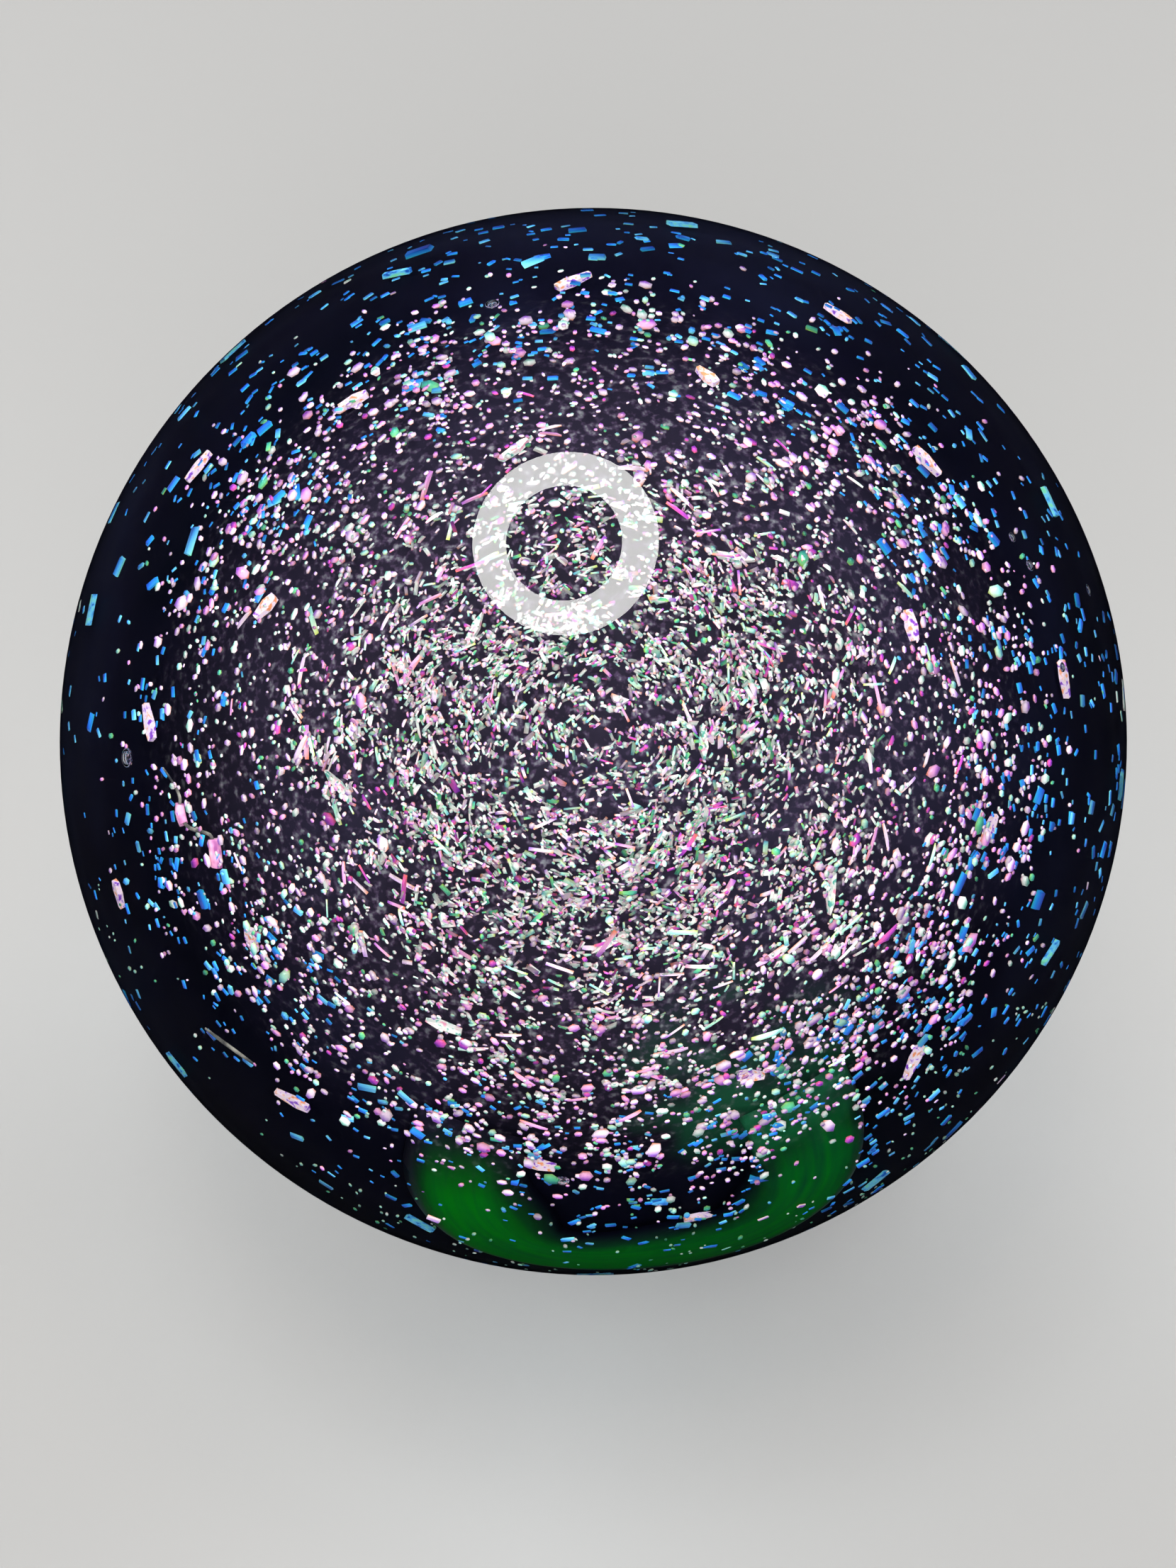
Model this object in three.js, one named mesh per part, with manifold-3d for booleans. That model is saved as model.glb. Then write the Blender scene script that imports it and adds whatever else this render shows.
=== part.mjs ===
import * as THREE from "three";
import { mergeVertices } from "three/addons/utils/BufferGeometryUtils.js";
import Module from "manifold-3d";

// A hand-made ball of art glass. A dark core carries a coat of dichroic glass chips that swirl
// round the ball's face, and a thick casing of clear glass closes over them. Millimetres, +Z up,
// origin at the centre of the ball, which rests on its lowest point with its face turned up and
// towards -Y. Every piece is laid out round the face axis first, and one turn tips them all.

// Driving dimensions
const ballDiameter = 57.15;
const casingWall = 8.3; // clear glass between the surface and the core
const pieceGap = 0.3; // clearance wherever two pieces meet
const faceTilt = 45; // degrees from upright to the face axis

const sealDiameter = 8; // plug of clear glass behind the ball, opposite the face
const markDiameter = 5.2; // shallow dish left in the plug where the rod came off
const markDepth = 0.35;

const chipThickness = 0.35;
const chipLean = 9; // most that a chip leans out of the core's surface, in degrees
const chipCount = 50;
const chipFirstAngle = 9; // degrees from the face axis to the first and the last chip
const chipLastAngle = 164;
const chipKinds = [
  { name: "white_chip", upTo: 46, length: 1.8, width: 0.4, corners: 5, colour: 0xe9f2e8 },
  { name: "pink_chip", upTo: 92, length: 1.7, width: 0.6, corners: 6, colour: 0xe793cf },
  { name: "blue_plate", upTo: 180, length: 1.7, width: 0.5, corners: 4, colour: 0x2f7fd8 },
];

const veilThickness = 0.7; // green film over the chips, a horseshoe low on the face
const veilWidth = 5.2; // at its middle
const veilFlare = 0.9; // part of that width that its ends gain
const veilSpan = 58; // degrees round the face axis
const veilAngle = 97; // degrees from the face axis to its middle
const veilTurn = -84; // degrees round the face axis to its middle
const veilLift = 26; // degrees that its two ends rise towards the face
const veilBend = 2.5; // how late they rise: 2 is an even bow, and more is squarer

const threadDiameter = 0.5; // loose threads of clear glass caught in the casing
const threadSteps = 12;
const threads = [
  { name: "curled_thread", route: [[65, 184.5], [62.5, 188.5], [63, 192], [58.5, 194], [58.5, 198.5]] },
  { name: "short_thread", route: [[80, 216.5], [77.5, 220], [75.5, 223.5]] },
];

// What follows from them
const ballRadius = ballDiameter / 2;
const casingInside = ballRadius - casingWall;
const coreRadius = casingInside - pieceGap;
const degrees = Math.PI / 180;
const goldenTurn = 180 * (3 - Math.sqrt(5));

const wasm = await Module();
wasm.setup();

function solidOf(geometry) {
  const bare = geometry.clone();
  bare.deleteAttribute("normal");
  bare.deleteAttribute("uv");
  const merged = mergeVertices(bare, 1e-4);
  return new wasm.Manifold(new wasm.Mesh({
    numProp: 3,
    vertProperties: new Float32Array(merged.attributes.position.array),
    triVerts: new Uint32Array(merged.index.array),
  }));
}

function geometryOf(solid) {
  const { vertProperties, triVerts } = solid.getMesh();
  const geometry = new THREE.BufferGeometry();
  geometry.setAttribute("position", new THREE.BufferAttribute(vertProperties, 3));
  geometry.setIndex(new THREE.BufferAttribute(triVerts, 1));
  return geometry;
}

function sphere(radius, around, down) {
  const geometry = new THREE.SphereGeometry(radius, around, down);
  return solidOf(geometry.rotateX(Math.PI / 2));
}

const outerBall = () => sphere(ballRadius, 48, 32);
const innerBall = (radius) => sphere(radius, 40, 24);

// A point at some degrees from the face axis and some degrees round it
function place(radius, angle, turn) {
  return new THREE.Vector3().setFromSphericalCoords(radius, angle * degrees, (turn + 90) * degrees)
    .applyAxisAngle(new THREE.Vector3(1, 0, 0), Math.PI / 2);
}

function piece(name, geometry, colour, roughness = 0.08, metalness = 0) {
  const material = new THREE.MeshStandardMaterial({ color: colour, roughness, metalness });
  const mesh = new THREE.Mesh(geometry, material);
  mesh.name = name;
  return mesh;
}

// The plug behind the ball, as a round bar that runs past both faces of the wall
function sealBar(diameter) {
  const bar = new THREE.CylinderGeometry(diameter / 2, diameter / 2, casingWall * 2, 24);
  return solidOf(bar.rotateX(Math.PI / 2).translate(0, 0, -ballRadius + casingWall / 2));
}

// The dish left by the rod: a large sphere that dips into the surface
function pontilMark() {
  const dishRadius = (markDiameter ** 2 / 4 + markDepth ** 2) / (2 * markDepth);
  const geometry = new THREE.SphereGeometry(dishRadius, 48, 32);
  const markRim = Math.sqrt(ballRadius ** 2 - markDiameter ** 2 / 4);
  return solidOf(geometry.translate(0, 0, -markRim - dishRadius + markDepth));
}

// A bar bent along the core's surface, growing wider towards its raised ends. With a clearance
// it is larger all round, and reaches below the casing's inner face.
function veil(clearance) {
  const geometry = new THREE.BoxGeometry(2, 2, veilThickness + 2 * clearance, 24, 6, 1);
  const endRoom = clearance / casingInside / degrees / (veilSpan / 2);
  const corner = geometry.attributes.position;
  for (let i = 0; i < corner.count; i += 1) {
    const along = corner.getX(i) * (1 + endRoom);
    const slope = veilLift * veilBend * Math.abs(along) ** (veilBend - 1) / (veilSpan / 2);
    const edgeRoom = clearance * Math.hypot(1, slope);
    const halfWidth = veilWidth / 2 * (1 + veilFlare * along ** 2) + edgeRoom;
    const across = corner.getY(i) * halfWidth / casingInside / degrees;
    const angle = veilAngle - veilLift * Math.abs(along) ** veilBend - across;
    const radius = casingInside + veilThickness / 2 + corner.getZ(i);
    corner.setXYZ(i, ...place(radius, angle, veilTurn + along * veilSpan / 2));
  }
  return geometry;
}

function thread(route, clearance) {
  const middle = casingInside + threadDiameter / 2;
  const bends = new THREE.CatmullRomCurve3(route.map(([angle, turn]) => place(middle, angle, turn)));
  const points = bends.getSpacedPoints(threadSteps);
  const lengthen = (end, beside) => end.add(end.clone().sub(beside).setLength(clearance));
  lengthen(points[0], points[1]);
  lengthen(points.at(-1), points.at(-2));
  const path = new THREE.CatmullRomCurve3(points);
  const section = new THREE.Shape();
  section.absarc(0, 0, threadDiameter / 2 + clearance, 0, 2 * Math.PI);
  return new THREE.ExtrudeGeometry(section, { steps: threadSteps, curveSegments: 4, extrudePath: path });
}

// Where each chip lies, how it is turned, and its own small unevenness
function chipSeats() {
  const first = Math.cos(chipFirstAngle * degrees);
  const last = Math.cos(chipLastAngle * degrees);
  const seats = [];
  for (let i = 0; i < chipCount; i += 1) {
    const angle = Math.acos(first + (last - first) * (i + 0.5) / chipCount) / degrees;
    const kind = chipKinds.find((each) => angle < each.upTo);
    const uneven = Math.sin(i * 12.9898);
    const length = kind.length * (1 + 0.18 * uneven);
    const ends = Math.sqrt(coreRadius ** 2 - length ** 2 / 4);
    const radius = ends - chipThickness / 2 - length / 2 * Math.sin(chipLean * degrees);
    const middle = place(radius, angle, i * goldenTurn);
    const out = middle.clone().normalize();
    const round = new THREE.Vector3(0, 0, 1).cross(out).normalize();
    const inward = out.clone().cross(round);
    const frame = new THREE.Matrix4().makeBasis(round, inward, out);
    const lean = new THREE.Matrix4().makeRotationFromEuler(new THREE.Euler(
      0, chipLean * degrees * Math.cos(i * 7.3), uneven * 0.6, "ZYX"));
    seats.push({ kind, length, uneven, middle, turn: frame.multiply(lean) });
  }
  return seats;
}

// The same outline with every edge moved out by the clearance
function outset(outline, clearance) {
  const normals = outline.map((corner, i) => {
    const next = outline[(i + 1) % outline.length];
    return new THREE.Vector2(next.y - corner.y, corner.x - next.x).normalize();
  });
  return outline.map((corner, i) => {
    const before = normals.at(i - 1);
    const both = before.clone().add(normals[i]);
    return both.multiplyScalar(clearance / (1 + before.dot(normals[i]))).add(corner);
  });
}

function chipOutline(seat, clearance) {
  const outline = [];
  for (let k = 0; k < seat.kind.corners; k += 1) {
    const at = (k + 0.5 + 0.16 * seat.uneven * (-1) ** k) / seat.kind.corners * 2 * Math.PI;
    const x = Math.cos(at) * seat.length / 2;
    const y = Math.sin(at) * seat.kind.width / 2;
    outline.push(new THREE.Vector2(x, y));
  }
  return new THREE.Shape(outset(outline, clearance));
}

function chip(seat) {
  const options = { depth: chipThickness, bevelEnabled: false };
  return new THREE.ExtrudeGeometry(chipOutline(seat, 0), options)
    .translate(0, 0, -chipThickness / 2);
}

// The hollow that a chip lies in, open at the core's surface
function chipPocket(seat) {
  const options = { depth: coreRadius / 4, bevelEnabled: false };
  const geometry = new THREE.ExtrudeGeometry(chipOutline(seat, pieceGap), options);
  geometry.translate(0, 0, -chipThickness / 2 - pieceGap);
  const seated = seat.turn.clone().setPosition(seat.middle);
  return solidOf(geometry.applyMatrix4(seated));
}

function casing() {
  let wall = outerBall().subtract(innerBall(casingInside));
  wall = wall.subtract(sealBar(sealDiameter));
  wall = wall.subtract(solidOf(veil(pieceGap)));
  for (const { route } of threads) {
    wall = wall.subtract(solidOf(thread(route, pieceGap)));
  }
  return geometryOf(wall);
}

function seal() {
  const wall = outerBall().subtract(innerBall(casingInside));
  const plug = wall.intersect(sealBar(sealDiameter - 2 * pieceGap));
  return geometryOf(plug.subtract(pontilMark()));
}

function core(seats) {
  let body = innerBall(coreRadius);
  for (const seat of seats) {
    body = body.subtract(chipPocket(seat));
  }
  return geometryOf(body);
}

const ball = new THREE.Group();
const seats = chipSeats();

ball.add(piece("clear_casing", casing(), 0xdfe6ea, 0.03));
ball.add(piece("pontil_seal", seal(), 0xdfe6ea, 0.05));
ball.add(piece("dark_core", core(seats), 0x0d0b1c, 0.2));
ball.add(piece("green_veil", veil(0), 0x0b4f2a, 0.1));
for (const { name, route } of threads) {
  ball.add(piece(name, thread(route, 0), 0xd9cfe0, 0.05));
}

const made = {};
for (const seat of seats) {
  const { name, colour } = seat.kind;
  made[name] = (made[name] ?? 0) + 1;
  const number = String(made[name]).padStart(2, "0");
  const mesh = piece(`${name}_${number}`, chip(seat), colour, 0.2, 0.9);
  mesh.position.copy(seat.middle);
  mesh.quaternion.setFromRotationMatrix(seat.turn);
  ball.add(mesh);
}

ball.rotation.x = faceTilt * degrees;

export default ball;
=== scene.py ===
import math
import random

import bmesh
import bpy
from mathutils import Matrix, Vector, noise


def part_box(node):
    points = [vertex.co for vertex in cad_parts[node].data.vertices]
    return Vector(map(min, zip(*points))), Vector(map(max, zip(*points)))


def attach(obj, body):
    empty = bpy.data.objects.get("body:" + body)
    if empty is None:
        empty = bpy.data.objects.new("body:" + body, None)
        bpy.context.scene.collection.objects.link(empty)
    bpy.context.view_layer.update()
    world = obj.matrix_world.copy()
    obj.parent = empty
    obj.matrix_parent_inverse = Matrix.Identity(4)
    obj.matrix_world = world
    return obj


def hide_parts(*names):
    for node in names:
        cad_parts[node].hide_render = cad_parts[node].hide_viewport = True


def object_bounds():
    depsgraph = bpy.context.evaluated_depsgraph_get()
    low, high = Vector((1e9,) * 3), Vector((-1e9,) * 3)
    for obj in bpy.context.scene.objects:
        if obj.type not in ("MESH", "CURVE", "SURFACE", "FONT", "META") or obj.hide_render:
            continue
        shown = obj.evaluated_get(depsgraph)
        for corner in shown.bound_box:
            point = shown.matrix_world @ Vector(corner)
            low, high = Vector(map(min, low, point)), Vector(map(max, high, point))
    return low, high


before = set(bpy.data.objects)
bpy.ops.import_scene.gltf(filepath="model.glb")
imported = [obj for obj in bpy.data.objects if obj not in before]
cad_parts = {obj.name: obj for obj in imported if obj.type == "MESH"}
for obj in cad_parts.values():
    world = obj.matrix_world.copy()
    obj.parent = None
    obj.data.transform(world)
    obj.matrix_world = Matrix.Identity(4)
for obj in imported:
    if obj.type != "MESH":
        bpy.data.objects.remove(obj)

# A ball of clear glass over a dark core, with thousands of dichroic chips between the two.
# Everything is laid out round the face axis, +Z, and one turn tips that axis towards -Y.

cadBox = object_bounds()
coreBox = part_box("dark_core")
ballRadius = (cadBox[1][0] - cadBox[0][0]) / 2
coreRadius = (coreBox[1][0] - coreBox[0][0]) / 2
mm = 0.001
faceTilt = 45            # degrees from upright to the face axis
tip = Matrix.Rotation(math.radians(faceTilt), 4, "X")
print("frame loaded, ball radius", round(ballRadius / mm, 2), "mm, core", round(coreRadius / mm, 2), "mm")


def onSphere(radius, angle, turn):
    # angle down from the face axis and turn round it, both in degrees
    a, t = math.radians(angle), math.radians(turn)
    across = radius * math.sin(a)
    return Vector((across * math.cos(t), across * math.sin(t), radius * math.cos(a)))


def finished(bm, name, material, nodes=(), smooth=True):
    # the bmesh as a piece of the ball: tipped into place, riding on the ball's one body
    bmesh.ops.transform(bm, matrix=tip, verts=bm.verts[:])
    mesh = bpy.data.meshes.new(name)
    bm.to_mesh(mesh)
    bm.free()
    if smooth:
        mesh.shade_smooth()
    mesh.materials.append(material)
    piece = bpy.data.objects.new(name, mesh)
    bpy.context.scene.collection.objects.link(piece)
    if nodes:
        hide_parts(*nodes)
    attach(piece, "root")
    print(name, len(mesh.polygons), "faces")
    return piece


def newMaterial(name, roughness=0.5):
    material = bpy.data.materials.new(name)
    material.use_nodes = True
    nodes, links = material.node_tree.nodes, material.node_tree.links
    nodes["Principled BSDF"].inputs["Roughness"].default_value = roughness
    return material, nodes, links


def addRamp(nodes, stops):
    ramp = nodes.new("ShaderNodeValToRGB")
    places = ramp.color_ramp.elements
    while len(places) < len(stops):
        places.new(0.5)
    for place, (position, colour) in zip(places, stops):
        place.position = position
        place.color = (*colour, 1)
    return ramp


def addMix(nodes, links, blend, factor, first, second):
    mix = nodes.new("ShaderNodeMix")
    mix.data_type = "RGBA"
    mix.blend_type = blend
    for socket, value in (("Factor", factor), ("A", first), ("B", second)):
        if isinstance(value, bpy.types.NodeSocket):
            links.new(value, mix.inputs[socket])
        else:
            mix.inputs[socket].default_value = value
    return mix.outputs["Result"]


def addNoise(nodes, links, scale, detail=2):
    where = nodes.new("ShaderNodeTexCoord")
    noiseMap = nodes.new("ShaderNodeTexNoise")
    noiseMap.inputs["Scale"].default_value = scale
    noiseMap.inputs["Detail"].default_value = detail
    links.new(where.outputs["Object"], noiseMap.inputs["Vector"])
    return noiseMap.outputs["Fac"]


# The clear casing. It is fused to its seal, so one skin bounds both.
casing = {
    "colour": (0.98, 0.99, 1, 1),
    "ior": 1.5,
    "around": 192,
    "down": 128,
    "wobble": 0.02 * mm,      # unevenness of hand-shaped glass
    "wobbleScale": 70,
    "rippleScale": 260,       # finer unevenness, which bends the light only
    "rippleStrength": 0.02,
    "rippleHeight": 0.05 * mm,
    "shade": (0.92, 0.95, 0.97, 1),      # colour of its shadow
    "markRadius": 2.6 * mm,   # dish where the rod came off, opposite the face
    "markDepth": 0.35 * mm,
}


def clearGlass():
    material, nodes, links = newMaterial("clearGlass", 0)
    glass = nodes["Principled BSDF"]
    glass.inputs["Base Color"].default_value = casing["colour"]
    glass.inputs["IOR"].default_value = casing["ior"]
    glass.inputs["Transmission Weight"].default_value = 1
    bump = nodes.new("ShaderNodeBump")
    bump.inputs["Strength"].default_value = casing["rippleStrength"]
    bump.inputs["Distance"].default_value = casing["rippleHeight"]
    links.new(addNoise(nodes, links, casing["rippleScale"]), bump.inputs["Height"])
    links.new(bump.outputs["Normal"], glass.inputs["Normal"])
    # Lamps shine straight in to the chips, as through a thin clear shade
    clear = nodes.new("ShaderNodeBsdfTransparent")
    clear.inputs["Color"].default_value = casing["shade"]
    path = nodes.new("ShaderNodeLightPath")
    mix = nodes.new("ShaderNodeMixShader")
    links.new(path.outputs["Is Shadow Ray"], mix.inputs[0])
    links.new(glass.outputs[0], mix.inputs[1])
    links.new(clear.outputs[0], mix.inputs[2])
    links.new(mix.outputs[0], nodes["Material Output"].inputs["Surface"])
    return material


def glassBall():
    bm = bmesh.new()
    bmesh.ops.create_uvsphere(bm, u_segments=casing["around"], v_segments=casing["down"],
                              radius=ballRadius)
    for v in bm.verts:
        v.co -= v.co.normalized() * casing["wobble"] * (0.5 + noise.noise(v.co * casing["wobbleScale"]))
        fromMark = math.hypot(v.co.x, v.co.y) / casing["markRadius"]
        if v.co.z < 0 and fromMark < 1:
            v.co.z += casing["markDepth"] * (1 - fromMark ** 2)
    finished(bm, "glassBall", clearGlass(), ["clear_casing", "pontil_seal"])


# The core, nearly black, with a haze of dust-fine chips and a painted sheen that lifts its dark, both
# thickest under the face.
# It lies a little below the CAD core, whose pockets hold the large chips.
core = {
    "below": 0.7 * mm,
    "lump": 0.08 * mm,
    "lumpScale": 400,
    "fineness": 6,
    "roughness": 0.55,
    "specular": 0.01,
    "dark": [(0.30, (0.0010, 0.0014, 0.004)), (0.50, (0.003, 0.0028, 0.009)),
             (0.72, (0.007, 0.008, 0.022))],
    "darkScale": 60,
    "hazeAndSheen": (0.020, 0.016, 0.025),
    "dust": [(0.50, (0, 0, 0)), (0.60, (0.05, 0.03, 0.06)), (0.72, (0.22, 0.24, 0.24)),
             (0.85, (0.5, 0.4, 0.5))],
    "dustScale": 2600,
    "hazeAndSheenFrom": 0.20,         # share of the way towards the face where the haze and painted sheen start
    "paintedGreen": (0.001, 0.080, 0.022),
    "paintedGreenAt": (56, -66),     # angle and turn of the painted green reflection's wisps above the green sheet
    "paintedGreenReach": (0.900, 0.990),
    "paintedGreenWisps": [(0.44, (0, 0, 0)), (0.57, (1, 1, 1))],
    "wispScale": 190,
}


def addShare(nodes, links, direction, start, end):
    # how far a place lies towards a direction: 0 at the start's cosine and 1 at the end's
    where = nodes.new("ShaderNodeTexCoord")
    towards = nodes.new("ShaderNodeVectorMath")
    towards.operation = "DOT_PRODUCT"
    towards.inputs[1].default_value = (tip @ direction) / coreRadius
    share = nodes.new("ShaderNodeMapRange")
    share.interpolation_type = "SMOOTHSTEP"
    share.inputs["From Min"].default_value = start
    share.inputs["From Max"].default_value = end
    links.new(where.outputs["Object"], towards.inputs[0])
    links.new(towards.outputs["Value"], share.inputs["Value"])
    return share.outputs["Result"]


def coreColour(nodes, links):
    # the colour of the core at each place, for the core and for whatever fades into it
    dark = addRamp(nodes, core["dark"])
    links.new(addNoise(nodes, links, core["darkScale"], detail=3), dark.inputs["Fac"])
    dust = addRamp(nodes, core["dust"])
    links.new(addNoise(nodes, links, core["dustScale"]), dust.inputs["Fac"])
    # the haze is partly fine dust and partly a painted sheen that stands in for the core's reflection
    dustHazeSheen = addMix(nodes, links, "ADD", 1, dust.outputs["Color"], (*core["hazeAndSheen"], 1))
    facing = addShare(nodes, links, Vector((0, 0, 1)), core["hazeAndSheenFrom"], 1)
    coreHazeSheen = addMix(nodes, links, "ADD", facing, dark.outputs["Color"], dustHazeSheen)
    # painted reflection: green wisps of the ring lamp's reflection in the core's colour, beside the green
    # sheet
    near = addShare(nodes, links, onSphere(1, *core["paintedGreenAt"]), *core["paintedGreenReach"])
    wisps = addRamp(nodes, core["paintedGreenWisps"])
    links.new(addNoise(nodes, links, core["wispScale"]), wisps.inputs["Fac"])
    paintedGreen = addMix(nodes, links, "MULTIPLY", 1, wisps.outputs["Color"], (*core["paintedGreen"], 1))
    return addMix(nodes, links, "ADD", near, coreHazeSheen, paintedGreen)


def coreGlass():
    material, nodes, links = newMaterial("coreGlass", core["roughness"])
    body = nodes["Principled BSDF"]
    body.inputs["Specular IOR Level"].default_value = core["specular"]
    links.new(coreColour(nodes, links), body.inputs["Base Color"])
    return material


def darkCore():
    bm = bmesh.new()
    bmesh.ops.create_icosphere(bm, subdivisions=core["fineness"], radius=coreRadius - core["below"])
    for v in bm.verts:
        v.co += v.co.normalized() * core["lump"] * noise.noise(v.co * core["lumpScale"])
    finished(bm, "coreBody", coreGlass(), ["dark_core"])


# The dichroic coat. A chip's colour runs from one edge over a pale middle to the other edge.
# The pale middle is a painted glint, and the edges are partly the coat's own colours and partly
# painted fringes of light: thick glass spreads the colours, so further from the face's middle the
# first edge of each tone is the one that faces away from it.
tones = {
    "white": [(0.12, 0.50, 0.40), (0.92, 1.0, 0.94), (1.0, 0.97, 0.88), (1.0, 0.40, 0.58)],
    "rose": [(0.26, 0.06, 0.62), (1.0, 0.76, 0.98), (1.0, 0.80, 0.84), (1.0, 0.36, 0.16)],
    "pink": [(0.26, 0.03, 0.55), (0.95, 0.42, 0.82), (1.0, 0.48, 0.62), (1.0, 0.26, 0.10)],
    "magenta": [(0.12, 0.01, 0.36), (0.60, 0.08, 0.56), (0.85, 0.13, 0.42), (0.90, 0.16, 0.10)],
    "mint": [(0.05, 0.34, 0.52), (0.50, 1.0, 0.78), (0.78, 1.0, 0.70), (0.70, 0.80, 0.16)],
    "green": [(0.01, 0.20, 0.26), (0.10, 0.55, 0.30), (0.22, 0.70, 0.28), (0.50, 0.68, 0.06)],
    "blue": [(0.01, 0.03, 0.42), (0.02, 0.24, 0.88), (0.04, 0.42, 0.95), (0.04, 0.55, 0.60)],
    "cyan": [(0.01, 0.12, 0.62), (0.10, 0.52, 1.0), (0.22, 0.76, 1.0), (0.25, 0.88, 0.55)],
}
toneNames = list(tones)
# glow is emission, a painted glint on the chips
smallCoat = {"roughness": 0.32, "paintedGlow": 0.5, "metallic": 0.25, "stops": (0.08, 0.38, 0.70, 0.92)}
largeCoat = {"roughness": 0.3, "paintedGlow": 0.2, "metallic": 0.25, "stops": (0.36, 0.44, 0.56, 0.66),
             "streakScale": 3000}

# Reach is the angles where a kind starts, is at its full density, starts to fade and ends.
# Spread is how uneven the lengths are, and limits hold them in. Slim is width over length, flat
# is thickness over width, and stand is the thickness gained further out. Rise is how much higher
# than the lowest chips the highest lie. Lean and swing are in degrees.
# Shade is each kind's range of chip brightness, partly the chips' own tone and partly a painted glint.
chipKinds = [
    {"name": "whiteNeedles", "slot": "white_dichroic", "shape": "needle", "seed": 11, "count": 5600,
     "reach": (0, 2, 18, 43), "length": 0.36 * mm, "spread": 0.34, "limits": (0.2 * mm, 1.2 * mm),
     "slim": (0.2, 0.38), "flat": 0.8, "stand": 0, "rise": 2.2 * mm, "lean": 22, "swing": 34, "clump": 0.8,
     "shade": (0.2, 0.9),
     "tones": {"white": 9, "rose": 4, "pink": 1.6, "magenta": 1.2, "mint": 3, "green": 1.3}},
    {"name": "longNeedles", "slot": "white_dichroic", "shape": "needle", "seed": 12, "count": 220,
     "reach": (2, 8, 34, 56), "length": 1.2 * mm, "spread": 0.22, "limits": (0.9 * mm, 2.1 * mm),
     "slim": (0.08, 0.15), "flat": 0.9, "stand": 0, "rise": 2.6 * mm, "lean": 9, "swing": 26, "clump": 0.8,
     "shade": (0.5, 1.0),
     "tones": {"rose": 3, "pink": 3, "white": 2, "mint": 3, "magenta": 1}},
    {"name": "glintBeads", "slot": "white_dichroic", "shape": "bead", "seed": 13, "count": 4700,
     "reach": (0, 2, 22, 58), "length": 0.24 * mm, "spread": 0.26, "limits": (0.14 * mm, 0.5 * mm),
     "slim": (0.6, 0.95), "flat": 0.9, "stand": 0, "rise": 2.8 * mm, "lean": 30, "swing": 60, "clump": 0.9,
     "shade": (0.25, 0.9),
     "tones": {"white": 9, "rose": 5, "pink": 2, "magenta": 1.2, "mint": 2.4, "green": 1}},
    {"name": "pinkNuggets", "slot": "pink_dichroic", "shape": "bead", "seed": 14, "count": 2850,
     "reach": (26, 44, 56, 72), "length": 0.37 * mm, "spread": 0.36, "limits": (0.2 * mm, 1.2 * mm),
     "slim": (0.45, 0.8), "flat": 0.8, "stand": 0.9, "rise": 2.8 * mm, "lean": 20, "swing": 45, "clump": 1.3,
     "shade": (0.4, 1.0),
     "tones": {"white": 3.5, "rose": 9, "pink": 4, "magenta": 0.8, "mint": 1.4, "green": 0.6}},
    {"name": "pinkBeads", "slot": "pink_dichroic", "shape": "bead", "seed": 15, "count": 1850,
     "reach": (40, 52, 61, 82), "length": 0.23 * mm, "spread": 0.26, "limits": (0.13 * mm, 0.45 * mm),
     "slim": (0.6, 0.95), "flat": 0.9, "stand": 0.9, "rise": 3.0 * mm, "lean": 20, "swing": 60, "clump": 1.3,
     "shade": (0.35, 1.0),
     "tones": {"white": 2, "rose": 7, "pink": 4, "mint": 1.4, "green": 0.8, "cyan": 1}},
    {"name": "bluePlates", "slot": "blue_dichroic", "shape": "plate", "seed": 16, "count": 1500,
     "reach": (46, 57, 68, 106), "length": 0.36 * mm, "spread": 0.42, "limits": (0.2 * mm, 1.6 * mm),
     "slim": (0.28, 0.5), "flat": 0.6, "stand": 0.2, "rise": 2.2 * mm, "lean": 14, "swing": 16, "clump": 2.4,
     "shade": (0.4, 1.0), "tones": {"blue": 8, "cyan": 3, "green": 0.3}},
    {"name": "strayPlates", "slot": "blue_dichroic", "shape": "plate", "seed": 17, "count": 600,
     "reach": (80, 112, 150, 180), "length": 0.40 * mm, "spread": 0.45, "limits": (0.2 * mm, 1.6 * mm),
     "slim": (0.3, 0.6), "flat": 0.6, "stand": 0, "rise": 2.2 * mm, "lean": 16, "swing": 24, "clump": 1.5,
     "shade": (0.35, 1.0),
     "tones": {"blue": 6, "cyan": 3, "rose": 1, "pink": 0.7, "white": 0.7, "mint": 0.7}},
    {"name": "rimSpecks", "slot": "white_dichroic", "shape": "bead", "seed": 18, "count": 260,
     "reach": (78, 86, 102, 110), "length": 0.15 * mm, "spread": 0.25, "limits": (0.1 * mm, 0.3 * mm),
     "slim": (0.8, 1.0), "flat": 1.0, "stand": 1.0, "rise": 3.4 * mm, "lean": 12, "swing": 40, "clump": 0.8,
     "turns": (-165, -30), "shade": (0.25, 0.7), "tones": {"mint": 5, "green": 3, "white": 2}},
]

# angle, turn, spread in degrees, and the share of chips missing there (less than 0 is more)
thinPlaces = [
    (6, -120, 5, 0.75), (50, 80, 18, 0.4), (66, 168, 22, 0.35), (96, 176, 24, 0.7),
    (100, -135, 34, 0.95), (100, -42, 22, 0.7),
    (84, 70, 30, 0.2), (58, -45, 22, -0.5), (18, -95, 12, -0.25), (72, -112, 10, 0.5), (76, -58, 10, 0.4),
    (72, -70, 18, -0.7), (94, -90, 10, 0.6),
]


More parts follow.
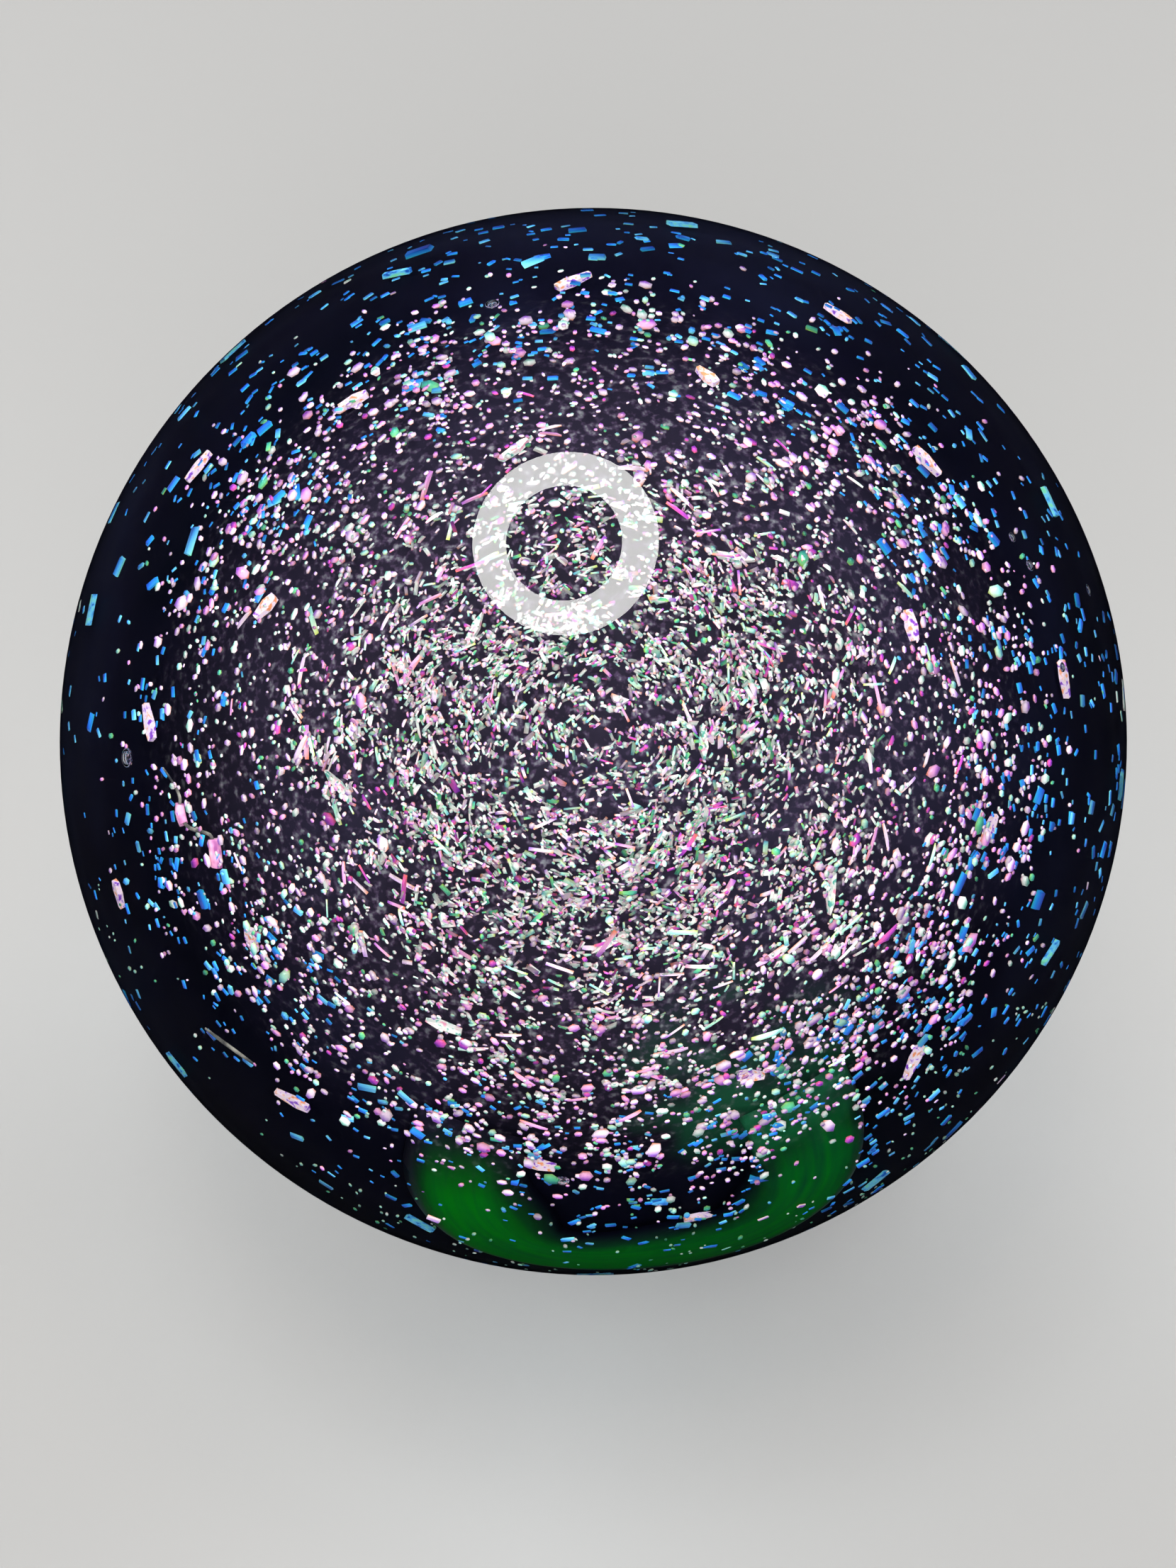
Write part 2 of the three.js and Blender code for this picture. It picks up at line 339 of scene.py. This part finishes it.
# What all kinds share. The clumps are noise scales, each with its weight.
layout = {
    "clumps": ((8, 0.6), (26, 1)),
    "lowest": 0.08 * mm,
    "crowding": 2.2,          # how much more of them lie low
    "drift": 60,              # degrees that whole patches swing
    "driftScale": 7,
    "driftFrom": Vector((5, 5, 5)),
    "widths": (0.09 * mm, 0.6 * mm),
    "standing": (50, 75),     # angles over which they gain their thickness
    "standSpread": (0.5, 1.5),
    "boxRadius": 1.2,
    "taper": {"needle": 0.5, "plate": 0.9},
    "fringeFrom": 55,         # angle from which colours run towards the face's middle
    "toneShare": 0.46,
    "shadeSlope": 0.03,
}


def dichroicCoat():
    material, nodes, links = newMaterial("dichroicCoat", smallCoat["roughness"])
    coat = nodes["Principled BSDF"]
    stops = []
    for i, tone in enumerate(tones.values()):
        for part, colour in zip(smallCoat["stops"], tone):
            stops.append(((i + part) / len(tones), colour))
    palette = addRamp(nodes, stops)
    chart = nodes.new("ShaderNodeUVMap")
    chart.uv_map = "OFBake"
    across = nodes.new("ShaderNodeSeparateXYZ")
    shade = nodes.new("ShaderNodeHueSaturation")
    links.new(chart.outputs["UV"], across.inputs["Vector"])
    links.new(across.outputs["X"], palette.inputs["Fac"])
    links.new(palette.outputs["Color"], shade.inputs["Color"])
    links.new(across.outputs["Y"], shade.inputs["Value"])
    links.new(shade.outputs["Color"], coat.inputs["Base Color"])
    # the emission is a painted glint in each chip's own colour
    links.new(shade.outputs["Color"], coat.inputs["Emission Color"])
    coat.inputs["Emission Strength"].default_value = smallCoat["paintedGlow"]
    coat.inputs["Metallic"].default_value = smallCoat["metallic"]
    return material


def within(angle, reach):
    # 1 in the middle of the reach, falling to 0 over its two ends
    start, full, fading, end = reach
    rising = (angle - start) / (full - start)
    falling = (end - angle) / (end - fading)
    return min(1, max(0, rising)) * min(1, max(0, falling))


def thinned(spot):
    share = 1
    for angle, turn, across, missing in thinPlaces:
        away = math.degrees(spot.angle(onSphere(1, angle, turn)))
        share *= 1 - missing * math.exp(-(away / across) ** 2)
    return share


def chooseSpot(dice, kind):
    # somewhere in the kind's reach, with clumps and gaps
    start, end = kind["reach"][0], kind["reach"][3]
    while True:
        cosine = dice.uniform(math.cos(math.radians(end)), math.cos(math.radians(start)))
        angle = math.degrees(math.acos(cosine))
        spot = onSphere(1, angle, dice.uniform(*kind.get("turns", (-180, 180))))
        crowd = sum(weight * noise.noise(spot * scale) for scale, weight in layout["clumps"])
        clump = 0.5 + kind["clump"] * crowd
        if dice.random() < within(angle, kind["reach"]) * clump * thinned(spot):
            return spot, angle


def chipMatrix(dice, kind, spot, angle):
    rise = layout["lowest"] + kind["rise"] * dice.random() ** layout["crowding"]
    around = Vector((0, 0, 1)).cross(spot).normalized()
    lie = Matrix((around, spot.cross(around), spot)).transposed().to_4x4()
    drift = layout["drift"] * noise.noise(spot * layout["driftScale"] + layout["driftFrom"])
    swing = Matrix.Rotation(math.radians(drift + dice.gauss(0, kind["swing"])), 4, "Z")
    lean = Matrix.Rotation(math.radians(dice.gauss(0, kind["lean"])), 4, "X")
    pitch = Matrix.Rotation(math.radians(dice.gauss(0, kind["lean"])), 4, "Y")
    shortest, longest = kind["limits"]
    length = min(longest, max(shortest, kind["length"] * math.exp(dice.gauss(0, kind["spread"]))))
    narrowest, widest = layout["widths"]
    width = max(narrowest, min(widest, length * dice.uniform(*kind["slim"])))
    first, last = layout["standing"]
    outer = min(1, max(0, (angle - first) / (last - first)))
    thick = width * (kind["flat"] + kind["stand"] * outer * dice.uniform(*layout["standSpread"]))
    size = Matrix.Diagonal((length / 2, width / 2, thick / 2, 1))
    return Matrix.Translation(spot * (coreRadius + rise)) @ lie @ swing @ lean @ pitch @ size


def addChip(bm, chart, dice, kind):
    spot, angle = chooseSpot(dice, kind)
    matrix = chipMatrix(dice, kind, spot, angle)
    if kind["shape"] == "bead":
        verts = bmesh.ops.create_icosphere(bm, subdivisions=1, radius=1, matrix=matrix)["verts"]
    else:
        wide = layout["boxRadius"]
        narrow = wide * layout["taper"][kind["shape"]]
        upright = matrix @ Matrix.Rotation(math.pi / 4, 4, "Z")
        verts = bmesh.ops.create_cone(bm, cap_ends=True, segments=4, radius1=wide, radius2=narrow,
                                      depth=2, matrix=upright)["verts"]
    # the way its colours run, as painted fringes of light: at random under the face, and towards the face's
    # middle further out
    tone = toneNames.index(dice.choices(list(kind["tones"]), kind["tones"].values())[0])
    # each chip's brightness, partly its own tone and partly a painted glint
    shade = dice.uniform(*kind["shade"])
    fringe = min(1, angle / layout["fringeFrom"])
    around = Vector((0, 0, 1)).cross(spot).normalized()
    inwards = Vector((-spot.x, -spot.y, 0)).normalized()
    turn = dice.uniform(-math.pi, math.pi)
    run = fringe * inwards + (1 - fringe) * (math.cos(turn) * inwards + math.sin(turn) * around)
    middle = matrix.translation
    shares = [(v.co - middle).dot(run) for v in verts]
    reach = max(abs(share) for share in shares)
    for v, share in zip(verts, shares):
        u = (tone + 0.5 + layout["toneShare"] * share / reach) / len(toneNames)
        w = shade * (1 + layout["shadeSlope"] * (v.co - middle).dot(around) / kind["limits"][0])
        for loop in v.link_loops:
            loop[chart].uv = (u, w)


def scatterChips(kind, material, batchSize=100):
    # made in batches, because the bmesh operators slow down as a mesh fills up
    dice = random.Random(kind["seed"])
    heap = bmesh.new()
    heap.loops.layers.uv.new("OFBake")
    for start in range(0, kind["count"], batchSize):
        batch = bmesh.new()
        chart = batch.loops.layers.uv.new("OFBake")
        for _ in range(min(batchSize, kind["count"] - start)):
            addChip(batch, chart, dice, kind)
        mesh = bpy.data.meshes.new("batch")
        batch.to_mesh(mesh)
        batch.free()
        heap.from_mesh(mesh)
        bpy.data.meshes.remove(mesh)
    finished(heap, kind["name"], material, smooth=kind["shape"] == "bead")


# The large chips are the CAD's own. Their coat is streaked with all the colours of one tone.
def largeChipCoat(name, tone):
    material, nodes, links = newMaterial(name, largeCoat["roughness"])
    coat = nodes["Principled BSDF"]
    streaks = addRamp(nodes, list(zip(largeCoat["stops"], tones[tone])))
    links.new(addNoise(nodes, links, largeCoat["streakScale"]), streaks.inputs["Fac"])
    links.new(streaks.outputs["Color"], coat.inputs["Base Color"])
    # the emission is a painted glint
    links.new(streaks.outputs["Color"], coat.inputs["Emission Color"])
    coat.inputs["Emission Strength"].default_value = largeCoat["paintedGlow"]
    coat.inputs["Metallic"].default_value = largeCoat["metallic"]
    return material


def largeChips():
    coats = {
        "white_chip": largeChipCoat("whiteChipCoat", "white"),
        "pink_chip": largeChipCoat("pinkChipCoat", "rose"),
        "blue_plate": largeChipCoat("bluePlateCoat", "cyan"),
    }
    for name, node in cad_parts.items():
        if name[:-3] in coats:
            node.material_slots[0].material = coats[name[:-3]]
    print("large chips coated")


# The green sheet over the chips, a horseshoe low on the face. Its green is a painted reflection of
# the ring lamp, seen green through the glass, and its colour fades into the core's towards its
# edges. Its span, angles and lift are in degrees.
reflectionSheet = {
    "cells": (64, 20),       # along it and across it
    "width": 6.2 * mm,       # at its middle, fading edges included
    "flare": -0.2,
    "waver": (0.45, 2.2),    # unevenness of its width: how much, and how often along it
    "span": 47,
    "angle": 96.5,
    "turn": -84,
    "lift": 34,
    "bend": 2.2,
    "above": 0.85 * mm,
    "sunk": 0.45 * mm,       # its rim, which lies down among the chips
    "thick": 0.4 * mm,
    "rimPowers": (8, 6),     # how sharply it turns down, at its ends and at its sides
    "edge": {"X": 0.15, "Y": 0.32},      # share of it that fades, at its ends and at its sides
    "green": [(0.02, (0.0010, 0.070, 0.018)), (0.28, (0.0005, 0.120, 0.012)),
              (0.52, (0.0002, 0.165, 0.005))],
    "roughness": 0.45,
    "specular": 0.02,
    "dimmer": -0.30,         # from its left end to its right
    "streaks": (5, 14, 1),   # along it and across it
    "streakDetail": 3,
}


# The green sheet's material, a painted reflection of the ring lamp.
def reflectionSheetGreen():
    material, nodes, links = newMaterial("reflectionSheetGreen", reflectionSheet["roughness"])
    sheetShader = nodes["Principled BSDF"]
    sheetShader.inputs["Specular IOR Level"].default_value = reflectionSheet["specular"]
    chart = nodes.new("ShaderNodeUVMap")
    chart.uv_map = "strip"
    place = nodes.new("ShaderNodeSeparateXYZ")
    links.new(chart.outputs["UV"], place.inputs["Vector"])
    stretch = nodes.new("ShaderNodeMapping")
    stretch.inputs["Scale"].default_value = reflectionSheet["streaks"]
    links.new(chart.outputs["UV"], stretch.inputs["Vector"])
    streaks = nodes.new("ShaderNodeTexNoise")
    streaks.inputs["Scale"].default_value = 1
    streaks.inputs["Detail"].default_value = reflectionSheet["streakDetail"]
    links.new(stretch.outputs["Vector"], streaks.inputs["Vector"])
    strength = nodes.new("ShaderNodeMath")
    strength.operation = "MULTIPLY_ADD"
    strength.inputs[1].default_value = reflectionSheet["dimmer"]
    links.new(place.outputs["X"], strength.inputs[0])
    links.new(streaks.outputs["Fac"], strength.inputs[2])
    # the painted reflection's green, brightest at the sheet's left end
    green = addRamp(nodes, reflectionSheet["green"])
    links.new(strength.outputs[0], green.inputs["Fac"])
    covers = []
    for side, edge in reflectionSheet["edge"].items():
        none, full = (0, 0, 0), (1, 1, 1)
        cover = addRamp(nodes, [(0, none), (edge, full), (1 - edge, full), (1, none)])
        cover.color_ramp.interpolation = "EASE"
        links.new(place.outputs[side], cover.inputs["Fac"])
        covers.append(cover.outputs["Color"])
    cover = addMix(nodes, links, "MULTIPLY", 1, *covers)
    colour = addMix(nodes, links, "MIX", cover, coreColour(nodes, links), green.outputs["Color"])
    links.new(colour, sheetShader.inputs["Base Color"])
    return material


def reflectionSheetLine(along):
    # the direction of the green sheet's middle line, from -1 at its left end to 1 at its right
    angle = reflectionSheet["angle"] - reflectionSheet["lift"] * abs(along) ** reflectionSheet["bend"]
    sideways = math.copysign(1 - (1 - abs(along)) ** 2, along)
    return onSphere(1, angle, reflectionSheet["turn"] + sideways * reflectionSheet["span"] / 2)


# The sheet that carries the painted green reflection.
def greenReflectionSheet():
    bm = bmesh.new()
    strip = bm.loops.layers.uv.new("strip")
    bmesh.ops.create_grid(bm, x_segments=reflectionSheet["cells"][0], y_segments=reflectionSheet["cells"][1], size=1)
    for face in bm.faces:
        for loop in face.loops:
            loop[strip].uv = ((loop.vert.co.x + 1) / 2, (loop.vert.co.y + 1) / 2)
    endPower, sidePower = reflectionSheet["rimPowers"]
    step = 0.01
    for v in bm.verts:
        along, across = v.co.x, v.co.y
        rim = max(along ** endPower, across ** sidePower)
        radius = coreRadius + reflectionSheet["above"] * (1 - rim) - reflectionSheet["sunk"] * rim
        middle = reflectionSheetLine(along)
        inwards = middle.cross(reflectionSheetLine(along + step) - reflectionSheetLine(along - step)).normalized()
        waver = reflectionSheet["waver"][0] * noise.noise(Vector((along * reflectionSheet["waver"][1], across, 3)))
        halfWidth = reflectionSheet["width"] / 2 * (1 + reflectionSheet["flare"] * along ** 2 + waver)
        v.co = (middle * radius + inwards * across * halfWidth).normalized() * radius
    bmesh.ops.solidify(bm, geom=bm.faces[:], thickness=-reflectionSheet["thick"])
    finished(bm, "greenReflectionSheet", reflectionSheetGreen(), ["green_veil"])


# Loose threads of faint glass, one with two milky rods along it, caught above the chips.
# A route is angles and turns, and thick is the radius in mm at each of its points.
threads = [
    {"name": "curledThread", "node": "curled_thread", "replaces": ["curled_thread"], "glass": "faint",
     "route": [(66, 183.5), (62.3, 187), (63.4, 189.5), (62.5, 192), (58.6, 193.2), (57.2, 194.2),
               (58.5, 198.5)],
     "thick": [0.05, 0.08, 0.10, 0.10, 0.08, 0.10, 0.08]},
    {"name": "upperRod", "node": "curled_thread", "glass": "milky",
     "route": [(63.0, 188.6), (63.4, 189.9), (62.9, 191.4)], "thick": [0.25, 0.32, 0.26]},
    {"name": "lowerRod", "node": "curled_thread", "glass": "milky",
     "route": [(57.4, 194.4), (57.6, 196.2), (58.4, 198.4)], "thick": [0.30, 0.38, 0.32]},
    {"name": "shortThread", "node": "short_thread", "replaces": ["short_thread"], "glass": "faint",
     "route": [(80, 216.5), (77.5, 220), (75.5, 223.5)], "thick": [0.07, 0.17, 0.07]},
]
threadGlasses = {
    "milky": [(0.38, (0.45, 0.12, 0.36)), (0.5, (0.95, 0.42, 0.66)), (0.62, (1, 0.85, 0.90))],
    "faint": [(0.35, (0.03, 0.03, 0.035)), (0.5, (0.12, 0.115, 0.10)), (0.65, (0.40, 0.38, 0.32))],
}


threadLook = {"roughness": 0.12, "cloudScale": 1100, "paintedGlow": 0.1, "roundness": 3, "fineness": 8}


def threadGlass(name, cloudy):
    material, nodes, links = newMaterial(name, threadLook["roughness"])
    strand = nodes["Principled BSDF"]
    cloud = addRamp(nodes, cloudy)
    links.new(addNoise(nodes, links, threadLook["cloudScale"]), cloud.inputs["Fac"])
    links.new(cloud.outputs["Color"], strand.inputs["Base Color"])
    # the emission is a painted glow that brightens the threads
    links.new(cloud.outputs["Color"], strand.inputs["Emission Color"])
    strand.inputs["Emission Strength"].default_value = threadLook["paintedGlow"]
    return material


def looseThread(thread, material):
    line = bpy.data.curves.new(thread["name"], "CURVE")
    line.dimensions = "3D"
    line.bevel_depth = mm
    line.bevel_resolution = threadLook["roundness"]
    line.resolution_u = threadLook["fineness"]
    line.use_fill_caps = True
    spline = line.splines.new("NURBS")
    spline.points.add(len(thread["route"]) - 1)
    spline.use_endpoint_u = True
    spline.order_u = 3
    # as far out as the CAD's thread
    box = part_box(thread["node"])
    middle = (box[0] + box[1]) / 2
    for point, place, thick in zip(spline.points, thread["route"], thread["thick"]):
        point.co = (*onSphere(middle.length, *place), 1)
        point.radius = thick
    scratch = bpy.data.objects.new("scratch", line)
    mesh = bpy.data.meshes.new_from_object(scratch)
    bpy.data.objects.remove(scratch)
    bm = bmesh.new()
    bm.from_mesh(mesh)
    bmesh.ops.recalc_face_normals(bm, faces=bm.faces[:])
    finished(bm, thread["name"], material, thread.get("replaces", ()))


# Small bubbles in the clear glass: angle, turn, share of the way from the core to the surface,
# and size in mm
bubbles = {
    "places": [
        (60, 103, 0.5, 0.60), (66, 182, 0.4, 0.80), (62, -94, 0.3, 0.56), (62, 26, 0.6, 0.44),
        (64, 22, 0.55, 0.50), (66, 9, 0.5, 0.42), (80, 17, 0.5, 0.5), (30, 150, 0.7, 0.2),
        (44, -30, 0.8, 0.18),
    ],
    "stretch": (1, 1.12, 0.9),      # drawn out a little along the surface, as the glass was
    "fineness": 4,
    "roughness": 0.02,
    "ior": 0.667,            # air seen from within glass
}


def bubbleSkin():
    material, nodes, links = newMaterial("bubbleSkin")
    skin = nodes.new("ShaderNodeBsdfGlass")
    skin.inputs["Roughness"].default_value = bubbles["roughness"]
    skin.inputs["IOR"].default_value = bubbles["ior"]
    nodes.remove(nodes["Principled BSDF"])
    links.new(skin.outputs[0], nodes["Material Output"].inputs["Surface"])
    return material


def airBubbles():
    bm = bmesh.new()
    for angle, turn, share, size in bubbles["places"]:
        radius = coreRadius + share * (ballRadius - coreRadius)
        out = onSphere(1, angle, turn)
        half = size / 2 * mm
        shape = Matrix.Translation(out * radius) @ out.to_track_quat("Z", "X").to_matrix().to_4x4()
        shape = shape @ Matrix.Diagonal((*(half * share for share in bubbles["stretch"]), 1))
        bmesh.ops.create_icosphere(bm, subdivisions=bubbles["fineness"], radius=1, matrix=shape)
    finished(bm, "airBubbles", bubbleSkin())


# Floor, lamp and camera
stage = {
    "floorSize": 0.65,
    "floorColour": (0.36, 0.356, 0.352, 1),
    "floorRoughness": 0.9,
    "roundness": 64,
    "ringAt": (-0.030, -0.026, 0.30),
    "ringRadii": (0.068, 0.112),
    "ringOval": (0.85, 0.97),
    "ringColour": (1, 1, 0.97, 1),
    "ringPower": 14,
    "roomColour": (0.25, 0.25, 0.255, 1),
}
fills = [
    {"name": "frontFill", "from": (0, -1, 0.55), "distance": 0.5, "size": 0.3, "power": 2.4},
    {"name": "sideFill", "from": (1, 0.6, 0.7), "distance": 0.6, "size": 0.3, "power": 1.6},
    {"name": "backFill", "from": (-0.8, 1, 0.5), "distance": 0.6, "size": 0.3, "power": 2.4},
]


def onStage(bm, name, material):
    mesh = bpy.data.meshes.new(name)
    bm.to_mesh(mesh)
    bm.free()
    mesh.materials.append(material)
    thing = bpy.data.objects.new(name, mesh)
    bpy.context.scene.collection.objects.link(thing)
    return thing


def paleFloor():
    material, nodes, _ = newMaterial("paleFloor", stage["floorRoughness"])
    nodes["Principled BSDF"].inputs["Base Color"].default_value = stage["floorColour"]
    bm = bmesh.new()
    bmesh.ops.create_circle(bm, cap_ends=True, segments=stage["roundness"], radius=stage["floorSize"])
    bmesh.ops.translate(bm, verts=bm.verts[:], vec=(0, 0, cadBox[0][2]))
    floor = onStage(bm, "floor", material)
    floor.visible_glossy = False      # keeps the pale floor's reflection off the dark glass


def ringLamp():
    material, nodes, _ = newMaterial("ringLamp")
    tube = nodes["Principled BSDF"]
    tube.inputs["Base Color"].default_value = (0, 0, 0, 1)
    tube.inputs["Emission Color"].default_value = stage["ringColour"]
    tube.inputs["Emission Strength"].default_value = stage["ringPower"]
    bm = bmesh.new()
    for radius in stage["ringRadii"]:
        bmesh.ops.create_circle(bm, segments=stage["roundness"], radius=radius)
    bmesh.ops.bridge_loops(bm, edges=bm.edges[:])
    bmesh.ops.scale(bm, verts=bm.verts[:], vec=(*stage["ringOval"], 1))
    bmesh.ops.translate(bm, verts=bm.verts[:], vec=stage["ringAt"])
    onStage(bm, "ringLamp", material)


def fillLight(fill):
    data = bpy.data.lights.new(fill["name"], "AREA")
    data.shape = "DISK"
    data.size = fill["size"]
    data.energy = fill["power"]
    lamp = bpy.data.objects.new(fill["name"], data)
    lamp.location = Vector(fill["from"]).normalized() * fill["distance"]
    lamp.rotation_euler = (-lamp.location).to_track_quat("-Z", "Y").to_euler()
    lamp.visible_glossy = False
    lamp.visible_transmission = False
    bpy.context.scene.collection.objects.link(lamp)


def softRoom():
    world = bpy.data.worlds.new("softRoom")
    bpy.context.scene.world = world
    world.use_nodes = True
    world.node_tree.nodes["Background"].inputs["Color"].default_value = stage["roomColour"]
    world.cycles_visibility.glossy = False      # no pale sheen round the rim of the glass


view = {
    "height": 45,             # degrees above the horizontal
    "distance": 0.30,
    "sensor": 24,
    "aspect": 0.75,           # width over height
    "ballInFrame": 0.908,     # share of the width that the ball fills
    "shift": (-0.0034, -0.0271),
    "nearest": 0.01,
}


def camera():
    data = bpy.data.cameras.new("camera")
    data.sensor_fit = "VERTICAL"
    data.sensor_height = view["sensor"]
    halfSlope = math.tan(math.asin(ballRadius / view["distance"]))
    share = view["ballInFrame"] * view["aspect"]
    data.lens = data.sensor_height * share / 2 / halfSlope
    data.clip_start = view["nearest"]
    data.shift_x, data.shift_y = view["shift"]
    looker = bpy.data.objects.new("camera", data)
    height = math.radians(view["height"])
    towards = Vector((0, -math.cos(height), math.sin(height)))
    looker.location = towards * view["distance"]
    looker.rotation_euler = (-towards).to_track_quat("-Z", "Y").to_euler()
    bpy.context.scene.collection.objects.link(looker)
    bpy.context.scene.camera = looker


glassBall()
darkCore()
coat = dichroicCoat()
for kind in chipKinds:
    scatterChips(kind, coat)
largeChips()
greenReflectionSheet()
glasses = {name: threadGlass(name + "Glass", cloudy) for name, cloudy in threadGlasses.items()}
for thread in threads:
    looseThread(thread, glasses[thread["glass"]])
airBubbles()
paleFloor()
ringLamp()
for fill in fills:
    fillLight(fill)
softRoom()
camera()
bpy.context.scene.view_settings.view_transform = "Standard"
print("stage set")
